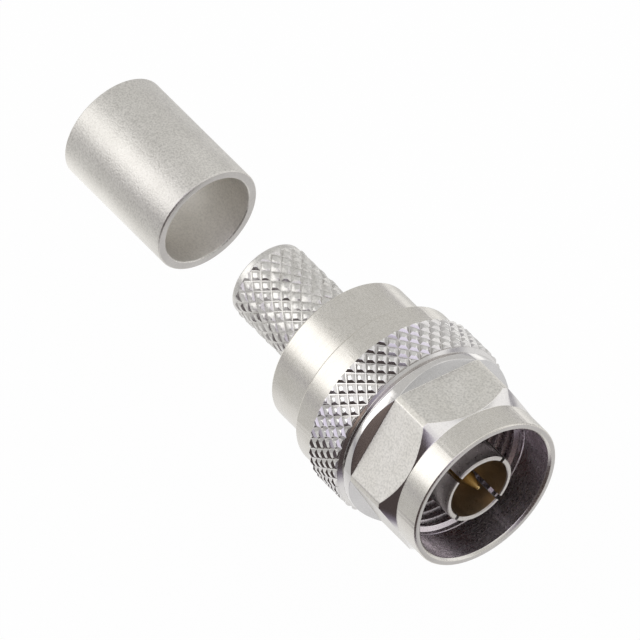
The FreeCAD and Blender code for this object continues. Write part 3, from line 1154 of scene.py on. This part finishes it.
@dataclass
class CentrePin(DressedPart):
    """The gold pin with its base, collar and slotted socket."""

    name: ClassVar[str] = "pin_dressed"
    node: ClassVar[str] = "centre_contact"
    slot: ClassVar[Slot] = Slot.GOLD

    tip: float = -0.1
    nose_radius: float = 0.22
    nose_start: float = 0.02
    nose_steps: int = 8
    taper_length: float = 2.0
    radius: float = 0.825
    length: float = 5.3
    base_radius: float = 1.52
    edge: float = 0.12
    collar: float = -13.02
    collar_radius: float = 2.2
    collar_width: float = 1.0
    socket_radius: float = 1.97
    socket_rear: float = -20.52
    socket_bore: float = 1.4
    socket_depth: float = 5.0
    socket_centre: float = 0.005
    slot_length: float = 4.0
    slot_width: float = 0.4
    slot_turn: float = 40.2

    def nose(self) -> list[Corner]:
        """Rounds the nose.

        Returns:
            The nose's corners, from near the axis outwards.
        """
        slope = math.atan2(self.radius - self.nose_radius, self.taper_length - self.nose_radius)
        centre = self.tip - self.nose_radius
        sweep = math.pi / 2 - slope - self.nose_start
        angles = [self.nose_start + sweep * step / self.nose_steps
                  for step in range(self.nose_steps + 1)]
        return [Corner(centre + self.nose_radius * math.cos(angle),
                       self.nose_radius * math.sin(angle), Edge.SHARP) for angle in angles]

    def draft(self) -> MeshDraft:
        """Drafts the pin without its slots.

        Returns:
            The draft.
        """
        edge, bore_end = self.edge, self.socket_rear + self.socket_depth
        step = self.collar - self.collar_width
        return turned_piece([
            *self.nose(),
            Corner(self.tip - self.taper_length, self.radius, Edge.WIDE),
            Corner(-self.length, self.radius, Edge.SOFT),
            Corner(-self.length, self.base_radius - edge),
            Corner(-self.length - edge, self.base_radius),
            *corners(Zone.SATIN, Edge.CRISP, (self.collar, self.base_radius),
                     (self.collar, self.collar_radius), (step, self.collar_radius),
                     (step, self.socket_radius)),
            *corners(Zone.SATIN, Edge.FINE, (self.socket_rear + edge, self.socket_radius),
                     (self.socket_rear, self.socket_radius - edge),
                     (self.socket_rear, self.socket_bore + edge),
                     (self.socket_rear + edge, self.socket_bore)),
            Corner(bore_end, self.socket_bore, Edge.CRISP),
            Corner(bore_end, self.socket_centre, Edge.SHARP),
        ], columns=72)

    def work(self, piece: bpy.types.Object) -> None:
        """Cuts the socket's four slots from the rear."""
        cut_slots(piece, self.socket_rear + self.slot_length, self.socket_rear - SLAB_MARGIN,
                  self.slot_width, self.slot_turn, self.collar_radius + SLAB_MARGIN)


@dataclass
class CrimpFerrule(DressedPart):
    """The plain tube that is crimped over the braid."""

    name: ClassVar[str] = "ferrule_dressed"
    node: ClassVar[str] = "crimp_ferrule"
    body: ClassVar[Body] = Body.FERRULE
    slot: ClassVar[Slot] = Slot.FERRULE

    front: float = -45.9
    rear: float = -62.0
    radius: float = 6.2
    bore_radius: float = 5.25
    edge: float = 0.12

    def draft(self) -> MeshDraft:
        """Drafts the ferrule.

        Returns:
            The draft.
        """
        edge = self.edge
        return turned_piece([
            Corner(self.front, self.bore_radius + edge, zone=Zone.CUT),
            *corners(Zone.SATIN, Edge.SOFT, (self.front, self.radius - edge),
                     (self.front - edge, self.radius), (self.rear + edge, self.radius)),
            Corner(self.rear, self.radius - edge, Edge.SOFT, Zone.CUT),
            Corner(self.rear, self.bore_radius + edge),
            Corner(self.rear + edge, self.bore_radius, zone=Zone.INSIDE),
            Corner(self.front - edge, self.bore_radius),
        ])


# ---- studio

WHITE = (1.0, 1.0, 1.0)
# Tones of the painted dark reflection sheet and of the world's dark patches.
MIRRORED_DARK = (0.085, 0.068, 0.067)
MIRRORED_BROWN = (0.540, 0.420, 0.360)
LILAC = (0.42, 0.38, 0.50)
PALE = (0.70, 0.70, 0.69)
HAZE = (0.46, 0.45, 0.48)
# Brighter than white: painted glare in the floor's reflection.
LIT = (1.45, 1.45, 1.43)
BRIGHT = (1.20, 1.20, 1.20)
COOL = (1.15, 1.10, 1.30)


@dataclass(frozen=True)
class SkyPatch:
    """A round patch of the surroundings that fades out between two angles, in degrees."""

    towards: Triple
    inner: float
    outer: float
    colour: Colour


SKY = (
    SkyPatch((0.58, -0.81, 0.05), 47, 59, LILAC),
    SkyPatch((0.58, -0.81, 0.05), 35, 45, MIRRORED_DARK),
    SkyPatch((0.17, -0.97, 0.16), 20, 28, MIRRORED_DARK),
    SkyPatch((0.53, 0.85, 0.02), 22, 29, BRIGHT),
    SkyPatch((0.36, -0.08, 0.93), 20, 31, BRIGHT),
    SkyPatch((0.0, 0.74, 0.67), 14, 26, BRIGHT),
    SkyPatch((0.25, -0.50, 0.83), 12, 22, COOL),
)


@dataclass
class Studio:
    """Camera, floor, lamp and the surroundings that the metal mirrors."""

    azimuth: float = 53.30
    elevation: float = 47.42
    pixels_per_mm: float = 9.894
    rim_pixel: Pair = (484.64, 494.13)
    rim_place: float = 1.0
    depth_place: float = -28.0
    frame_pixels: int = 640
    lens: float = 1600.0
    sensor: float = 36.0
    clip: Pair = (0.1, 20.0)
    floor_height: float = -30.0
    floor_reach: float = 6000.0
    floor_colour: Colour = (0.93, 0.93, 0.93)
    floor_roughness: float = 0.9
    floor_glow: float = 0.96
    world_white: Colour = (0.983, 0.983, 0.983)
    pool_shape: Triple = (0.25, 1.0, 0.0)
    pool_edge: Pair = (24.0, 44.0)
    haze_edge: Pair = (150.0, 300.0)
    white_side: Triple = (0.53, 0.85, 0.0)
    white_side_edge: Pair = (20.0, 50.0)
    lit_edge: Pair = (-70.0, -58.0)
    sheet_turns: tuple[int, ...] = (-114, -102, -90, -78, -66, -54, -42, -30, -18, -6, 4)
    sheet_reaches: tuple[int, ...] = (20, 28, 36, 60, 90, 400, 3000)
    sheet_fade: float = 16.0
    sheet_shift: float = 4.0
    sheet_lift: float = 0.1
    sheet_edge: Pair = (0.0, 0.5)
    brown_turn: int = -18
    brown_reaches: tuple[int, ...] = (90, 400)
    lamp_direction: Triple = (-0.54, -0.66, 0.52)
    lamp_target: Triple = (-0.02, 0, 0)
    lamp_distance: float = 2.0
    lamp_size: Pair = (1.7, 1.38)
    lamp_power: float = 8.2

    def axes(self) -> tuple[Vector, Vector, Vector]:
        """Works out how the camera stands.

        Returns:
            Its right, up and backward directions.
        """
        turn, lift = math.radians(self.azimuth), math.radians(self.elevation)
        back = Vector((math.sin(turn) * math.cos(lift), -math.cos(turn) * math.cos(lift),
                       math.sin(lift)))
        right = Vector((math.cos(turn), math.sin(turn), 0.0))
        return right, back.cross(right), back

    def aim(self, thing: bpy.types.Object, place: Vector, towards: Vector) -> None:
        """Puts a lamp or camera in its place and turns it.

        Args:
            thing: The object, which isn't in the scene yet.
            place: Where it stands, in metres.
            towards: The direction it faces.
        """
        thing.location = place
        thing.rotation_mode = "QUATERNION"
        thing.rotation_quaternion = towards.to_track_quat("-Z", "Y")
        bpy.context.scene.collection.objects.link(thing)

    def camera(self) -> None:
        """Makes the camera, so that the nut's rim falls on its own pixel."""
        right, up, back = self.axes()
        data = bpy.data.cameras.new("camera")
        data.lens, data.sensor_width = self.lens, self.sensor
        data.clip_start, data.clip_end = self.clip
        distance = self.frame_pixels / self.pixels_per_mm * self.lens / self.sensor
        half = self.frame_pixels / 2
        centre = (Vector((self.rim_place, 0, 0))
                  - right * ((self.rim_pixel[0] - half) / self.pixels_per_mm)
                  + up * ((self.rim_pixel[1] - half) / self.pixels_per_mm))
        centre -= back * (centre.dot(back) - self.depth_place * back.x)
        camera = bpy.data.objects.new("camera", data)
        self.aim(camera, (centre + back * distance) * MM, -back)
        bpy.context.scene.camera = camera

    def sheet(self, name: str, mesh: bpy.types.Mesh, material: Material) -> bpy.types.Object:
        """Adds a stage object with its material.

        Args:
            name: The object's name.
            mesh: Its mesh.
            material: Its material.

        Returns:
            The object.
        """
        mesh.materials.append(material)
        made = stand(name, mesh)
        return made

    def floor(self) -> None:
        """Makes the plain pale floor, which shows white and keeps the shadow."""
        mesh = bpy.data.meshes.new("floor")
        reach, height = self.floor_reach * MM, self.floor_height * MM
        mesh.from_pydata([(reach * x, reach * y, height) for x, y in SQUARE], [],
                         [(0, 1, 2, 3)])
        material, bench, shader = start_material("floor_white")
        shader.inputs["Base Color"].default_value = (*self.floor_colour, 1.0)
        shader.inputs["Roughness"].default_value = self.floor_roughness
        shader.inputs["Specular IOR Level"].default_value = 0.0
        ray = bench.node("ShaderNodeLightPath").outputs
        seen = bench.maths("MAXIMUM", ray["Is Camera Ray"], ray["Is Glossy Ray"])
        seen = bench.maths("MAXIMUM", seen, ray["Is Transmission Ray"])
        # The floor glows white for the camera and shows glossy rays a painted reflection.
        glow = bench.glow(bench.blend(ray["Is Glossy Ray"], WHITE, self.mirrored_floor(bench)))
        bench.end(bench.maths("MULTIPLY", seen, self.floor_glow), shader.outputs[0], glow)
        self.sheet("floor", mesh, material)

    def mirrored_floor(self, bench: NodeBench) -> Socket:
        """Gives the painted reflection that the metal sees in the floor.

        It is white in a long pool under the plug, brighter than white at the pool's rear end as a
        painted glare, pale round it except on the white side, and hazy far out.

        Args:
            bench: The floor's bench.

        Returns:
            The tone.
        """
        place = bench.place()
        out = bench.vector("LENGTH", bench.vector("MULTIPLY", place, self.pool_shape))
        side = bench.vector("DOT_PRODUCT", place, self.white_side)
        parts = bench.node("ShaderNodeSeparateXYZ")
        bench.link(place, parts.inputs[0])
        near = bench.blend(bench.spread(parts.outputs["X"], (1.0, 0.0), self.lit_edge), WHITE, LIT)
        far = bench.maths("MULTIPLY", bench.spread(out, over=self.pool_edge),
                          bench.spread(side, (1.0, 0.0), self.white_side_edge))
        return bench.blend(bench.spread(out, over=self.haze_edge), bench.blend(far, near, PALE),
                           HAZE)

    def painted_reflection_sheet(self) -> None:
        """Lays a glowing sheet on the camera's side that only mirrors see: painted dark
        reflection.
        """
        turns, reaches = self.sheet_turns, self.sheet_reaches
        points, shares, tones = [], [], []
        for turn in turns:
            angle = math.radians(turn)
            for reach in reaches:
                points.append((reach * math.cos(angle) * MM - self.sheet_shift * MM,
                               reach * math.sin(angle) * MM,
                               (self.floor_height + self.sheet_lift) * MM))
                inside = 0.0 if turn in (turns[0], turns[-1]) else 1.0
                share = min(inside, (reach - reaches[0]) / self.sheet_fade)
                shares.append(share)
                brown = turn == self.brown_turn and reach in self.brown_reaches
                deep = MIRRORED_BROWN if brown else MIRRORED_DARK
                tones += [low * share + high * (1 - share) for low, high in zip(deep, LILAC)]
                tones.append(1.0)
        width = len(reaches)
        firsts = [row * width + column for row in range(len(turns) - 1)
                  for column in range(width - 1)]
        mesh = bpy.data.meshes.new("painted_reflection_sheet")
        mesh.from_pydata(points, [], [(first, first + 1, first + 1 + width, first + width)
                                      for first in firsts])
        mesh.attributes.new("share", "FLOAT", "POINT").data.foreach_set("value", shares)
        mesh.attributes.new("tone", "FLOAT_COLOR", "POINT").data.foreach_set("color", tones)
        material, bench, _ = start_material("painted_reflection_sheet")
        share = bench.node("ShaderNodeAttribute", attribute_name="share").outputs["Fac"]
        tone = bench.node("ShaderNodeAttribute", attribute_name="tone").outputs["Color"]
        bench.end(bench.spread(share, over=self.sheet_edge),
                  bench.node("ShaderNodeBsdfTransparent").outputs[0], bench.glow(tone))
        mirror_sheet = self.sheet("painted_reflection_sheet", mesh, material)
        # The sheet is a painted reflection: hidden from the camera, diffuse light and shadows.
        mirror_sheet.visible_camera = mirror_sheet.visible_diffuse = mirror_sheet.visible_shadow = False
        mirror_sheet.visible_transmission = False

    def surroundings(self) -> None:
        """Makes the world: pale all round, with the dark side of the room behind the camera."""
        world = bpy.data.worlds.new("surroundings")
        bpy.context.scene.world = world
        world.use_nodes = True
        bench = NodeBench(world.node_tree)
        where = bench.node("ShaderNodeTexCoord").outputs["Generated"]
        tone: Colour | Socket = PALE
        for patch in SKY:
            dot = bench.vector("DOT_PRODUCT", where, tuple(Vector(patch.towards).normalized()))
            edge = tuple(math.cos(math.radians(angle)) for angle in (patch.outer, patch.inner))
            tone = bench.blend(bench.spread(dot, over=edge), tone, patch.colour)
        ray = bench.node("ShaderNodeLightPath").outputs
        seen = bench.maths("MAXIMUM", ray["Is Camera Ray"], ray["Is Transmission Ray"])
        bench.link(bench.blend(seen, tone, self.world_white),
                   world.node_tree.nodes["Background"].inputs["Color"])

    def lamp(self) -> None:
        """Makes the one soft box, which faces the plug."""
        data = bpy.data.lights.new("soft_box", "AREA")
        data.shape, data.energy = "RECTANGLE", self.lamp_power
        data.size, data.size_y = self.lamp_size
        lamp = bpy.data.objects.new("soft_box", data)
        lamp.visible_camera = False
        direction = Vector(self.lamp_direction).normalized()
        self.aim(lamp, Vector(self.lamp_target) + direction * self.lamp_distance, -direction)

    def build(self) -> None:
        """Makes the whole studio."""
        self.camera()
        self.floor()
        self.painted_reflection_sheet()
        self.surroundings()
        self.lamp()
        bpy.context.scene.view_settings.view_transform = "Standard"


def keep_solids(nodes: dict[str, bpy.types.Object], finishes: dict[str, Material]) -> None:
    """Gives the CAD nodes that stay in view their finishes.

    Args:
        nodes: The frame's nodes by name.
        finishes: The finish for each node by name.
    """
    for name, finish in finishes.items():
        mesh = nodes[name].data
        if not mesh.materials:
            mesh.materials.append(finish)
        for number in range(len(mesh.materials)):
            mesh.materials[number] = finish
        LOG.info("%s: kept as it is, finish %s", name, finish.name)


def main() -> None:
    """Builds the plug's pieces in order and sets up the picture."""
    logging.basicConfig(level=logging.INFO, format="%(name)s: %(message)s")
    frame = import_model()
    turned = TURNED_PLATING.material()
    inside = INSIDE_PLATING.material()
    cut = CUT_FACE.material()
    white = WHITE_INSULATOR.material()
    nut = {Zone.SATIN: turned, Zone.BRIGHT: BRIGHT_PLATING.material(),
           Zone.MILLED: MILLED_PLATING.material(), Zone.INSIDE: inside,
           Zone.KNURL: KNURL_PLATING.material(), Zone.CUT: cut,
           Zone.WALL: END_WALL.material()}
    body = {Zone.SATIN: turned, Zone.INSIDE: inside, Zone.KNURL: STEM_PLATING.material()}
    sleeve = {Zone.SATIN: SLEEVE_PLATING.material(), Zone.INSIDE: SLEEVE_INSIDE.material()}
    pin = {Zone.SATIN: PIN_GOLD.material()}
    ferrule = {Zone.SATIN: BLASTED_PLATING.material(), Zone.INSIDE: BLASTED_BORE.material(),
               Zone.CUT: cut}
    CouplingNut().dress(nut)
    PlugBody().dress(body)
    OuterContact().dress(sleeve)
    CentrePin().dress(pin)
    CrimpFerrule().dress(ferrule)
    keep_solids(frame["nodes"], {
        "front_insulator": white,
        "rear_insulator": white,
        "gasket": RED_GASKET.material(),
        "snap_ring": RING_BRONZE.material(),
    })
    Studio().build()


if __name__ == "__main__":
    main()
